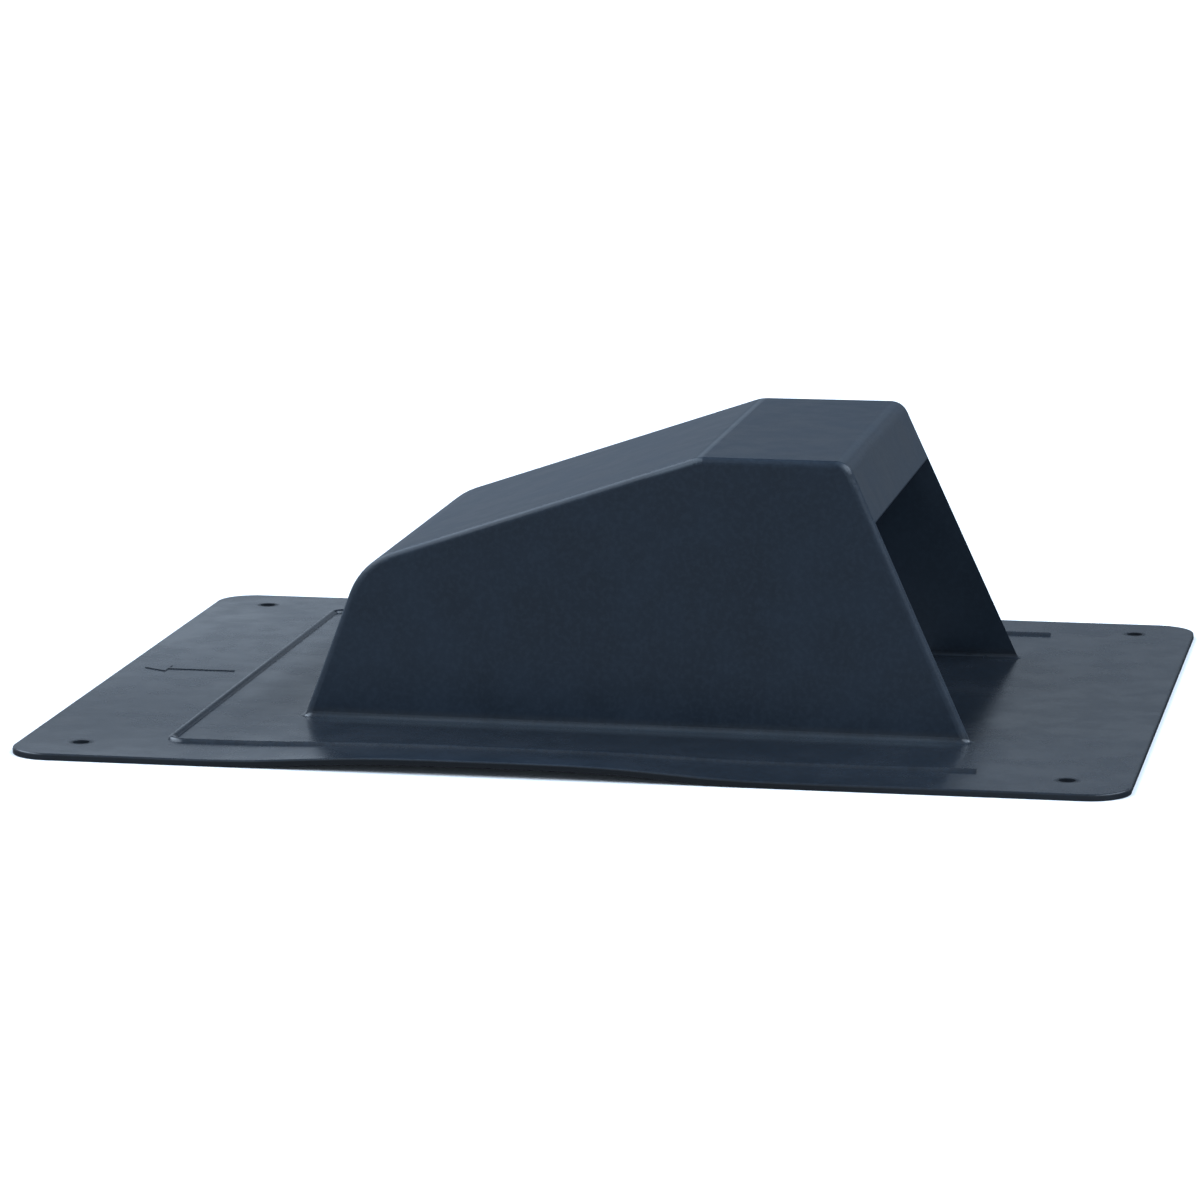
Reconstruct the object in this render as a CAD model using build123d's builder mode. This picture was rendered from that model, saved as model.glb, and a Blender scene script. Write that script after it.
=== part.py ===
from build123d import *
import math
import os

os.makedirs("parts", exist_ok=True)

# Roof cap vent: one moulded piece, a raking hood on a wide nailing flange.
# Millimetres. +Z up off the roof deck, -Y down the roof (the hood opens that way),
# +Y up the roof. The origin is the middle of the flange's underside.

# ---------------------------------------------------------------- dimensions
# flange
flange_len = 340.0          # along the roof slope, Y
flange_wid = 272.0          # across the roof, X
flange_t = 2.0
flange_corner_r = 13.0
flange_edge_r = 0.6
flat_half = 77.0            # the band under and beside the hood that stays flat

# bow of the flange's side strips, as the moulding has it
bow_near = 2.8              # rise of the -X edge at its highest point
bow_far = 0.9               # rise of the +X edge
bow_y = 22.0                # where along Y the rise is highest
bow_reach = 60.0            # how far along Y it spreads

# hood, as its side profile in the YZ plane
hood_y_back_foot = 93.0
hood_y_back_top = 75.0
hood_z_back_top = 51.0
hood_y_break = -31.0        # slope meets flat top
hood_z_top = 87.0
hood_y_front_top = -77.5
hood_y_front_foot = -116.3
r_back_top = 22.0
r_break = 10.0
r_front_top = 6.0

# hood, across
hood_half_front = 71.0      # half width at the flange, at the front foot
hood_plan_taper = 0.0186    # each side closes in by this per mm towards the back
hood_draft = 0.0365         # each side leans in by this per mm of height
r_edge = 2.2                # outside edges of the hood
r_foot = 1.8                # where the hood grows out of the flange
wall = 2.4

# opening and throat
lip_z = 67.6                # lower edge of the short raking panel over the opening
throat_front_y = -86.0      # front edge of the hole through the flange
r_inside = 1.2              # inside corners of the hood
r_lip = 0.8                 # free edges at the lip and at the throat

# raised bead that turns water: back and both sides, open down the slope
bead_x = 110.5
bead_y_back = 124.8
bead_y_end = -122.8
bead_w = 3.2
bead_h = 0.9
bead_corner_r = 5.0

# nail holes
nail_x = 117.5
nail_y = 150.5
nail_r = 2.6

# arrow that points up the roof, on the centre line behind the bead
arrow_y = 132.5
arrow_len = 30.0
arrow_w = 1.4
arrow_h = 0.25


# ---------------------------------------------------------------- helpers
def bow(x, y):
    """Rise of the flange at a place: nothing on the flat band, most at the edge."""
    s = (abs(x) - flat_half) / (flange_wid / 2 - flat_half)
    if s <= 0.0:
        return 0.0
    amount = bow_near if x < 0 else bow_far
    along = math.exp(-(((y - bow_y) / bow_reach) ** 4))
    return amount * along * s * s * (3.0 - s) / 2.0


def half_at(y, z):
    """Half width of the hood's outside at a place on its side wall."""
    return (hood_half_front
            - hood_plan_taper * (y - hood_y_front_foot)
            - hood_draft * (z - flange_t))


def front_y(z):
    """Y of the raking front plane at height z."""
    k = (hood_y_front_top - hood_y_front_foot) / (hood_z_top - flange_t)
    return hood_y_front_foot + k * (z - flange_t)


def back_y(z):
    """Y of the leaning back plane at height z."""
    k = (hood_y_back_top - hood_y_back_foot) / (hood_z_back_top - flange_t)
    return hood_y_back_foot + k * (z - flange_t)


# ---------------------------------------------------------------- hood, outside
z_low, z_high = -4.0, 100.0
y_lo, y_hi = -140.0, 110.0

with BuildPart() as hood_outer:
    with BuildSketch(Plane.YZ.offset(-100.0)):
        with BuildLine():
            Polyline(
                (back_y(0.5), 0.5),
                (hood_y_back_top, hood_z_back_top),
                (hood_y_break, hood_z_top),
                (hood_y_front_top, hood_z_top),
                (front_y(0.5), 0.5),
                close=True,
            )
        make_face()
    extrude(amount=200.0)
    # rounded breaks along the top of the hood
    across = hood_outer.edges().filter_by(Axis.X)
    fillet(across.filter_by(lambda e: abs(e.center().Y - hood_y_back_top) < 0.5), radius=r_back_top)
    fillet(hood_outer.edges().filter_by(Axis.X).filter_by(
        lambda e: abs(e.center().Y - hood_y_break) < 0.5 and e.center().Z > 80), radius=r_break)
    fillet(hood_outer.edges().filter_by(Axis.X).filter_by(
        lambda e: abs(e.center().Y - hood_y_front_top) < 0.5 and e.center().Z > 80), radius=r_front_top)
    # the two side walls: they close in towards the back and lean in towards the top
    with BuildSketch(Plane.XY.offset(z_low)):
        with BuildLine():
            Polyline(
                (-half_at(y_lo, z_low), y_lo), (half_at(y_lo, z_low), y_lo),
                (half_at(y_hi, z_low), y_hi), (-half_at(y_hi, z_low), y_hi), close=True)
        make_face()
    with BuildSketch(Plane.XY.offset(z_high)):
        with BuildLine():
            Polyline(
                (-half_at(y_lo, z_high), y_lo), (half_at(y_lo, z_high), y_lo),
                (half_at(y_hi, z_high), y_hi), (-half_at(y_hi, z_high), y_hi), close=True)
        make_face()
    loft(ruled=True, mode=Mode.INTERSECT)
    side_faces = hood_outer.faces().sort_by(Axis.X)
    rim = [e for f in (side_faces[0], side_faces[-1]) for e in f.edges() if e.center().Z > 1.0]
    fillet(rim, radius=r_edge)

# ---------------------------------------------------------------- hood, inside
with BuildPart() as hood_void:
    with BuildSketch(Plane.YZ.offset(-100.0)):
        with BuildLine():
            Polyline(
                (back_y(0.5), 0.5),
                (hood_y_back_top, hood_z_back_top),
                (hood_y_break, hood_z_top),
                (hood_y_front_top, hood_z_top),
                (front_y(0.5), 0.5),
                close=True,
            )
        make_face()
        offset(amount=-wall, kind=Kind.INTERSECTION, mode=Mode.REPLACE)
    extrude(amount=200.0)
    fillet(hood_void.edges().filter_by(Axis.X).sort_by(
        lambda e: abs(e.center().Y - hood_y_back_top) + abs(e.center().Z - hood_z_back_top))[0],
        radius=r_back_top - wall)
    fillet(hood_void.edges().filter_by(Axis.X).sort_by(
        lambda e: abs(e.center().Y - hood_y_break) + abs(e.center().Z - hood_z_top))[0],
        radius=r_break - wall)
    fillet(hood_void.edges().filter_by(Axis.X).sort_by(
        lambda e: abs(e.center().Y - hood_y_front_top) + abs(e.center().Z - hood_z_top))[0],
        radius=r_front_top - wall)
    # straight down through the flange behind the throat's front edge
    with BuildSketch(Plane.YZ.offset(-100.0)):
        with BuildLine():
            yb = back_y(3.5) - wall * 1.06
            ybb = back_y(-3.0) - wall * 1.06
            Polyline((yb, 3.5), (ybb, -3.0), (throat_front_y, -3.0), (throat_front_y, 3.5), close=True)
        make_face()
    extrude(amount=200.0)
    # the opening, out through the raking front under the lip
    with BuildSketch(Plane.YZ.offset(-100.0)):
        with BuildLine():
            Polyline(
                (front_y(lip_z) + 3.5, lip_z), (front_y(lip_z) - 12.0, lip_z),
                (hood_y_front_foot - 12.0, flange_t), (throat_front_y + 5.0, flange_t), close=True)
        make_face()
    extrude(amount=200.0)
    # floor of the hood, in front of the throat, stays: cut the void back to it
    with BuildSketch(Plane.YZ.offset(-100.0)):
        with BuildLine():
            Polyline((throat_front_y, -6.0), (throat_front_y, flange_t),
                     (-150.0, flange_t), (-150.0, -6.0), close=True)
        make_face()
    extrude(amount=200.0, mode=Mode.SUBTRACT)
    with BuildSketch(Plane.XY.offset(z_low)):
        with BuildLine():
            Polyline(
                (-half_at(y_lo, z_low) + wall, y_lo), (half_at(y_lo, z_low) - wall, y_lo),
                (half_at(y_hi, z_low) - wall, y_hi), (-half_at(y_hi, z_low) + wall, y_hi), close=True)
        make_face()
    with BuildSketch(Plane.XY.offset(z_high)):
        with BuildLine():
            Polyline(
                (-half_at(y_lo, z_high) + wall, y_lo), (half_at(y_lo, z_high) - wall, y_lo),
                (half_at(y_hi, z_high) - wall, y_hi), (-half_at(y_hi, z_high) + wall, y_hi), close=True)
        make_face()
    loft(ruled=True, mode=Mode.INTERSECT)
    # inside corners: along the roof of the hood, and where the walls meet the floor
    void_sides = [hood_void.faces().sort_by(Axis.X)[0], hood_void.faces().sort_by(Axis.X)[-1]]
    inside = [e for f in void_sides for e in f.edges()
              if e.center().Z > 5.0 and e.center().Y > front_y(e.center().Z) + 0.8 * wall]
    floor_side = [e for f in void_sides for e in f.edges()
                  if abs(e.center().Z - flange_t) < 0.05 and e.center().Y < throat_front_y]
    fillet(inside + floor_side, radius=r_inside)

# ---------------------------------------------------------------- flange
def strip_surface(sign):
    """Underside of one bowed side strip, as a smooth surface a little past its edges."""
    x_list = [flat_half + (flange_wid / 2 + 2.0 - flat_half) * i / 10.0 for i in range(11)]
    y_list = [-flange_len / 2 - 4.0 + (flange_len + 8.0) * j / 42.0 for j in range(43)]
    grid = [[Vector(sign * x, y, bow(sign * x, y)) for y in y_list] for x in x_list]
    return Face.make_surface_from_array_of_points(grid, tol=0.004, min_deg=3, max_deg=5)


near_face = strip_surface(-1)
far_face = strip_surface(1)


def raised(face):
    """A strip of the flange's thickness standing on its underside surface."""
    up = face if face.normal_at().Z > 0 else -face
    return Solid.thicken(up, flange_t)


near_strip = raised(near_face)
far_strip = raised(far_face)

with BuildPart() as flange:
    with BuildSketch(Plane.XY):
        Rectangle(2 * flat_half, flange_len + 8.0)
    extrude(amount=flange_t)
    add(near_strip)
    add(far_strip)
    with BuildSketch(Plane.XY.offset(-3.0)):
        RectangleRounded(flange_wid, flange_len, flange_corner_r)
    extrude(amount=14.0, mode=Mode.INTERSECT)
    # the flange's upper edge is just broken, all the way round
    outline = [e for e in flange.edges()
               if e.center().Z > bow(e.center().X, e.center().Y) + 0.7 * flange_t
               and (abs(abs(e.center().X) - flange_wid / 2) < 6.0
                    or abs(abs(e.center().Y) - flange_len / 2) < 6.0)
               and not (abs(abs(e.center().X) - flat_half) < 0.05 and e.length > 200.0)]
    fillet(outline, radius=flange_edge_r)

# ---------------------------------------------------------------- bead
# A low half-round bead. On the flat band and behind the bow it is drawn in plan;
# along each side it rides over the bow.
bead_r = (bead_w * bead_w / 4.0 + bead_h * bead_h) / (2.0 * bead_h)
def bead_section(sign, y):
    """The bead's section across X at a place along one side, rooted in the flange."""
    x = sign * bead_x
    z = flange_t + (bow(x, y) if y < bead_join_y else 0.0)
    left, right = (x - bead_root_half, y, z - bead_root), (x + bead_root_half, y, z - bead_root)
    return Face(Wire([Edge.make_three_point_arc(left, (x, y, z + bead_h), right),
                      Edge.make_line(right, left)]))


bead_join_y = bead_y_back - 3.0 * bead_corner_r
bead_root = 0.6             # how deep the bead's round is carried into the flange
bead_root_half = math.sqrt(bead_r ** 2 - (bead_r - bead_h - bead_root) ** 2)
stations = [bead_join_y - (bead_join_y - bead_y_end) * i / 22.0 for i in range(23)]
bead_sides = [Solid.make_loft([bead_section(sign, y).outer_wire() for y in stations], ruled=False)
              for sign in (-1, 1)]

with BuildPart() as bead:
    with BuildLine() as bead_path:
        FilletPolyline(
            (-bead_x, bead_join_y, flange_t), (-bead_x, bead_y_back, flange_t),
            (bead_x, bead_y_back, flange_t), (bead_x, bead_join_y, flange_t), radius=bead_corner_r)
    with BuildSketch(Plane((-bead_x, bead_join_y, flange_t), x_dir=(1, 0, 0), z_dir=(0, 1, 0))):
        with BuildLine():
            ThreePointArc((-bead_root_half, bead_root), (0.0, -bead_h), (bead_root_half, bead_root))
            Line((bead_root_half, bead_root), (-bead_root_half, bead_root))
        make_face()
    sweep(path=bead_path.line)
    for side in bead_sides:
        add(side)


# ---------------------------------------------------------------- the moulding
with BuildPart() as vent_body:
    add(flange.part)
    add(hood_outer.part)
    # a small radius where the hood grows out of the flange
    foot = [e for e in vent_body.edges()
            if abs(e.center().Z - flange_t) < 0.01
            and abs(e.bounding_box().max.Z - e.bounding_box().min.Z) < 0.01
            and abs(e.center().X) < hood_half_front + 1.5
            and hood_y_front_foot + 1.0 < e.center().Y < hood_y_back_foot + 3.0]
    fillet(foot, radius=r_foot)
    add(hood_void.part, mode=Mode.SUBTRACT)
    add(bead.part)
    with Locations(*[(sx * nail_x, sy * nail_y, 0) for sx in (-1, 1) for sy in (-1, 1)]):
        Cylinder(radius=nail_r, height=20.0, mode=Mode.SUBTRACT)
    # arrow up the roof, moulded just proud of the flange
    with BuildSketch(Plane.XY.offset(flange_t - 0.4)):
        with Locations((0, arrow_y + arrow_len / 2 - 2.0)):
            Rectangle(arrow_w, arrow_len - 4.0)
        with BuildLine():
            Polyline((-4.6, arrow_y + arrow_len - 8.0), (0, arrow_y + arrow_len), (4.6, arrow_y + arrow_len - 8.0),
                     close=True)
        make_face()
    extrude(amount=0.4 + arrow_h)
    lip = [e for e in vent_body.edges().filter_by(Axis.X)
           if e.length > 100.0 and abs(e.center().Z - lip_z) < 0.3]
    fillet(lip, radius=r_lip)

vent_body.part.label = "vent_body"
export_step(vent_body.part, "parts/vent_body.step")
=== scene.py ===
import bpy, math
from mathutils import Vector, Matrix

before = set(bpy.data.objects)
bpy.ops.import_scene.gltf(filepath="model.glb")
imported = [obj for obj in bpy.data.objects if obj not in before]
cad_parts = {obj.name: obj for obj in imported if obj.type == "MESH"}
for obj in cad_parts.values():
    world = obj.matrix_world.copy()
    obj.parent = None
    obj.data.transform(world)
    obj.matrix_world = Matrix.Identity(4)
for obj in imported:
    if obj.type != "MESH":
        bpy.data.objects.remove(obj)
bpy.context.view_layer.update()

# ------------------------------------------------------------------ camera
AZ, EL = math.radians(-79.51), math.radians(10.371)
TARGET = Vector((0.0, 0.01132, 0.02950))
DIST = 1.70038
F_PX = 5300.6


def camera():
    back = Vector((math.sin(AZ) * math.cos(EL), -math.cos(AZ) * math.cos(EL), math.sin(EL)))
    right = (-back).cross(Vector((0, 0, 1))).normalized()
    up = right.cross(-back).normalized()
    cam = bpy.data.cameras.new("camera")
    cam.sensor_fit = "HORIZONTAL"
    cam.sensor_width = 36.0
    cam.lens = F_PX / 1200.0 * 36.0
    cam.clip_start, cam.clip_end = 0.05, 60.0
    ob = bpy.data.objects.new("camera", cam)
    m = Matrix((right, up, back)).transposed().to_4x4()
    m.translation = TARGET + back * DIST
    ob.matrix_world = m
    bpy.context.scene.collection.objects.link(ob)
    bpy.context.scene.camera = ob


camera()
bpy.context.scene.view_settings.view_transform = "Standard"
bpy.context.scene.view_settings.look = "None"


# ------------------------------------------------------------------ node helpers
class Tree:
    """Short calls for building a node tree."""

    def __init__(self, tree):
        self.t = tree
        self.n = tree.nodes
        self.l = tree.links

    def add(self, kind, **props):
        node = self.n.new(kind)
        for k, v in props.items():
            setattr(node, k, v)
        return node

    def put(self, node, name, value):
        sock = node.inputs[name]
        if hasattr(value, "is_output"):
            self.l.new(value, sock)
        else:
            sock.default_value = value
        return node

    def math(self, op, a, b=None, c=None, clamp=False):
        node = self.add("ShaderNodeMath", operation=op, use_clamp=clamp)
        for i, v in enumerate((a, b, c)):
            if v is not None:
                self.put(node, i, v)
        return node.outputs[0]

    def noise(self, vec, scale, detail=2.0, rough=0.5, distort=0.0):
        node = self.add("ShaderNodeTexNoise", noise_dimensions="3D")
        self.l.new(vec, node.inputs["Vector"])
        node.inputs["Scale"].default_value = scale
        node.inputs["Detail"].default_value = detail
        node.inputs["Roughness"].default_value = rough
        node.inputs["Distortion"].default_value = distort
        return node.outputs["Fac"]

    def span(self, v, a, b, c=0.0, d=1.0, smooth=True):
        node = self.add("ShaderNodeMapRange", clamp=True)
        node.interpolation_type = "SMOOTHSTEP" if smooth else "LINEAR"
        self.l.new(v, node.inputs["Value"])
        for i, x in zip(("From Min", "From Max", "To Min", "To Max"), (a, b, c, d)):
            self.put(node, i, x)
        return node.outputs["Result"]

    def mix(self, fac, a, b):
        node = self.add("ShaderNodeMix", data_type="RGBA")
        self.put(node, 0, fac)
        for i, v in ((6, a), (7, b)):
            if hasattr(v, "is_output"):
                self.l.new(v, node.inputs[i])
            else:
                node.inputs[i].default_value = v
        return node.outputs[2]


# ------------------------------------------------------------------ moulded plastic
def moulded_plastic():
    m = bpy.data.materials.new("moulded_plastic")
    m.use_nodes = True
    t = Tree(m.node_tree)
    bsdf = t.n["Principled BSDF"]
    coord = t.add("ShaderNodeTexCoord").outputs["Object"]
    sep = t.add("ShaderNodeSeparateXYZ")
    t.l.new(coord, sep.inputs[0])
    x, y, z = sep.outputs
    on_hood = t.span(z, 0.0030, 0.0060)

    # broad clouding of the dark plastic, and a finer mottle
    cloud = t.noise(coord, 9.0, 3.0, 0.55)
    mottle = t.noise(coord, 70.0, 4.0, 0.6)
    speck = t.noise(coord, 620.0, 3.0, 0.6)
    dark = (0.0040, 0.0105, 0.0200, 1.0)
    pale = (0.0084, 0.0172, 0.0300, 1.0)
    blend = t.math("ADD", t.math("MULTIPLY", cloud, 0.5), t.math("MULTIPLY", mottle, 0.5))
    patch = t.span(blend, 0.35, 0.65)
    # painted light: the flange gets a paler, greyer copy of the hood's plastic, brightening the flat plate where it
    # lies in the hood's shade
    col = t.mix(on_hood, t.mix(patch, (0.0110, 0.0145, 0.0195, 1.0), (0.0170, 0.0210, 0.0275, 1.0)),
                t.mix(patch, dark, pale))
    col = t.mix(t.span(speck, 0.42, 0.66, 0.0, 0.28), col, (0.018, 0.030, 0.046, 1.0))
    up = t.add("ShaderNodeSeparateXYZ")
    t.l.new(t.add("ShaderNodeNewGeometry").outputs["Normal"], up.inputs[0])
    side, ny, nz = t.math("ABSOLUTE", up.outputs[0]), up.outputs[1], up.outputs[2]

    def both(*masks):
        out = masks[0]
        for m in masks[1:]:
            out = t.math("MULTIPLY", out, m)
        return out

    # painted highlights: the sloping top's long edges, the two ridges across the hood and a band along the walls'
    # foot are made lighter where light catches them; the inner faces of the hood walls are also made a little
    # lighter
    edges = both(t.span(side, 0.04, 0.30), t.span(side, 0.50, 0.80, 1.0, 0.0), t.span(ny, 0.05, 0.15),
                 t.span(z, 0.006, 0.012))
    ridge = both(t.span(ny, 0.03, 0.12), t.span(ny, 0.16, 0.25, 1.0, 0.0), t.span(z, 0.0790, 0.0830))
    front = both(t.span(ny, -0.15, -0.03, 1.0, 0.0), t.span(ny, -0.55, -0.35), t.span(z, 0.0780, 0.0830))
    off = t.math("ABSOLUTE", x)
    beside = t.math("SUBTRACT", t.math("ADD", off, t.math("MULTIPLY", y, 0.0186)), 0.06884)
    foot = both(t.span(beside, -0.0010, 0.0005), t.span(beside, 0.0030, 0.0100, 1.0, 0.0), t.span(z, 0.0016, 0.0020),
                t.span(z, 0.0024, 0.0060, 1.0, 0.0), t.span(y, -0.118, -0.104), t.span(y, 0.080, 0.094, 1.0, 0.0))
    inner = both(t.span(t.math("MULTIPLY", up.outputs[0], x), -0.05, -0.02, 1.0, 0.0), t.span(off, 0.075, 0.085, 1.0, 0.0))
    painted_highlight_and_inner_lightening = t.math("MULTIPLY", edges, 0.26)
    for mask, amount in ((ridge, 0.50), (front, 0.24), (foot, 0.30), (inner, 0.11)):
        painted_highlight_and_inner_lightening = t.math("MAXIMUM", painted_highlight_and_inner_lightening, t.math("MULTIPLY", mask, amount))
    # mix in the painted highlights and the lighter inner walls
    col = t.mix(painted_highlight_and_inner_lightening, col, (0.062, 0.076, 0.090, 1.0))

    # the edge faces along the flange's two bowed sides are dull, and darkened most where the edge is lifted, as
    # painted shade of the gap under it; the skin round the nail holes is darkened a little, as painted shade in the
    # dished recess
    outer = t.math("MULTIPLY", t.span(off, 0.126, 0.132),
                   t.span(t.math("ABSOLUTE", t.math("SUBTRACT", y, 0.010)), 0.070, 0.130, 1.0, 0.35))
    rim = t.math("MULTIPLY", t.span(t.math("ABSOLUTE", nz), 0.25, 0.6, 1.0, 0.0), outer)
    ax = t.math("SUBTRACT", t.math("ABSOLUTE", x), 0.1175)
    ay = t.math("SUBTRACT", t.math("ABSOLUTE", y), 0.1505)
    away = t.math("SQRT", t.math("ADD", t.math("MULTIPLY", ax, ax), t.math("MULTIPLY", ay, ay)))
    rim = t.math("MAXIMUM", rim, t.span(away, 0.0026, 0.0044, 0.45, 0.0))
    # painted shade on the flange's side edges and round the nail holes
    col = t.mix(t.math("MULTIPLY", rim, 0.85), col, (0.0025, 0.0035, 0.0050, 1.0))
    t.l.new(col, bsdf.inputs["Base Color"])

    # satin skin: the hood is duller than the flange, most of all its sloping top, with rougher and smoother patches
    skin = t.math("ADD", t.math("MULTIPLY", on_hood, t.span(ny, 0.10, 0.24, 0.12, 0.21)), 0.225)
    patchy = t.math("ADD", t.span(cloud, 0.35, 0.65, 0.0, 0.03), t.span(mottle, 0.35, 0.65, 0.0, 0.04))
    rough = t.math("ADD", skin, patchy)
    rough = t.math("ADD", rough, t.math("MULTIPLY", rim, 0.45), clamp=True)
    t.l.new(rough, bsdf.inputs["Roughness"])
    bsdf.inputs["IOR"].default_value = 1.42

    # the plate behind the hood is very slightly crowned, and so is the sloping top from side to side
    crown = t.math("SUBTRACT", 1.0, t.math("POWER", t.math("DIVIDE", t.math("ABSOLUTE", x), 0.136), 2.0), clamp=True)
    lift = t.math("ADD", t.span(y, 0.092, 0.118, 0.0, 0.85), t.span(y, 0.115, 0.165, 0.0, 0.35))
    crown = t.math("MULTIPLY", t.math("POWER", crown, 2.0), lift)
    dome = t.math("MINIMUM", t.math("POWER", t.math("DIVIDE", off, 0.068), 2.0), 1.0)
    dome = both(dome, t.span(y, -0.050, -0.010), t.span(y, 0.072, 0.092, 1.0, 0.0))
    crown = t.math("SUBTRACT", crown, t.math("MULTIPLY", dome, 0.60))
    swell = t.add("ShaderNodeBump")
    swell.inputs["Strength"].default_value = 1.0
    swell.inputs["Distance"].default_value = 0.0013
    t.l.new(crown, swell.inputs["Height"])

    # fine mould grain over a faint orange peel
    grain = t.noise(coord, 1300.0, 2.0, 0.5)
    peel = t.noise(coord, 150.0, 2.0, 0.5)
    height = t.math("ADD", t.math("MULTIPLY", grain, 0.3), t.math("MULTIPLY", peel, 0.7))
    bump = t.add("ShaderNodeBump")
    bump.inputs["Strength"].default_value = 0.35
    bump.inputs["Distance"].default_value = 0.00012
    t.l.new(height, bump.inputs["Height"])
    t.l.new(swell.outputs["Normal"], bump.inputs["Normal"])
    t.l.new(bump.outputs["Normal"], bsdf.inputs["Normal"])
    return m


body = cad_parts["vent_body"]
plastic = moulded_plastic()
for slot in body.material_slots:
    slot.material = plastic
if not body.material_slots:
    body.data.materials.append(plastic)

# ------------------------------------------------------------------ floor and light
me = bpy.data.meshes.new("floor")
S = 14.0
me.from_pydata([(-S, -S, 0), (S, -S, 0), (S, S, 0), (-S, S, 0)], [], [(0, 1, 2, 3)])
floor = bpy.data.objects.new("floor", me)
floor.location.z = -0.0001
bpy.context.scene.collection.objects.link(floor)
mat = bpy.data.materials.new("floor")
mat.use_nodes = True
fb = mat.node_tree.nodes["Principled BSDF"]
fb.inputs["Base Color"].default_value = (0.97, 0.97, 0.965, 1)
fb.inputs["Roughness"].default_value = 0.9
fb.inputs["Specular IOR Level"].default_value = 0.2
me.materials.append(mat)


floor.visible_diffuse = False
floor.visible_glossy = False

# studio light by height (sine of the elevation): down the roof, up the roof, and on the camera's side
HEIGHTS = [-1.0, -0.35, -0.12, -0.03, 0.03, 0.09, 0.15, 0.21, 0.30, 0.45, 0.70, 1.0]
SKY_DOWN = [0.02, 0.06, 0.040, 0.220, 0.280, 0.050, 0.060, 0.660, 0.05, 0.0, 0.2, 0.25]
SKY_UP = [0.02, 0.06, 0.220, 0.300, 0.120, 0.540, 0.950, 0.500, 0.05, 0.0, 0.2, 0.25]
SKY_NEAR = [0.02, 0.10, 0.600, 0.780, 0.740, 0.700, 0.620, 0.420, 0.32, 0.25, 0.25, 0.25]
SOFTBOX = 4.0
TINT = (1.0, 1.185, 1.41)
PEAK = 5.0


def sky():
    """A studio dome: two large soft lights high up and down the roof, and dimmer cool walls round the object."""
    world = bpy.data.worlds.new("world")
    bpy.context.scene.world = world
    world.use_nodes = True
    t = Tree(world.node_tree)
    bg = t.n["Background"]
    vec = t.add("ShaderNodeTexCoord").outputs["Generated"]
    sep = t.add("ShaderNodeSeparateXYZ")
    t.l.new(vec, sep.inputs[0])
    dx, dy, dz = sep.outputs
    height = t.span(dz, -1.0, 1.0, smooth=False)

    def band(values):
        node = t.add("ShaderNodeValToRGB")
        ramp = node.color_ramp
        ramp.interpolation = "LINEAR"
        ramp.elements.remove(ramp.elements[-1])
        ramp.elements[0].position = 0.0
        ramp.elements[0].color = [values[0] * c / PEAK for c in TINT] + [1.0]
        for h, v in zip(HEIGHTS[1:], values[1:]):
            e = ramp.elements.new((h + 1.0) / 2.0)
            e.color = [v * c / PEAK for c in TINT] + [1.0]
        t.l.new(height, node.inputs[0])
        return node.outputs["Color"]

    far_side = t.mix(t.span(dy, 0.05, 0.30), band(SKY_DOWN), band(SKY_UP))
    col = t.mix(t.span(dx, -0.3, 0.3), band(SKY_NEAR), far_side)
    box = t.math("MULTIPLY", t.span(t.math("ABSOLUTE", dy), 0.34, 0.50), t.span(dz, 0.38, 0.58))
    col = t.mix(box, col, [SOFTBOX * c / PEAK for c in TINT] + [1.0])
    t.l.new(col, bg.inputs["Color"])
    bg.inputs["Strength"].default_value = PEAK


sky()
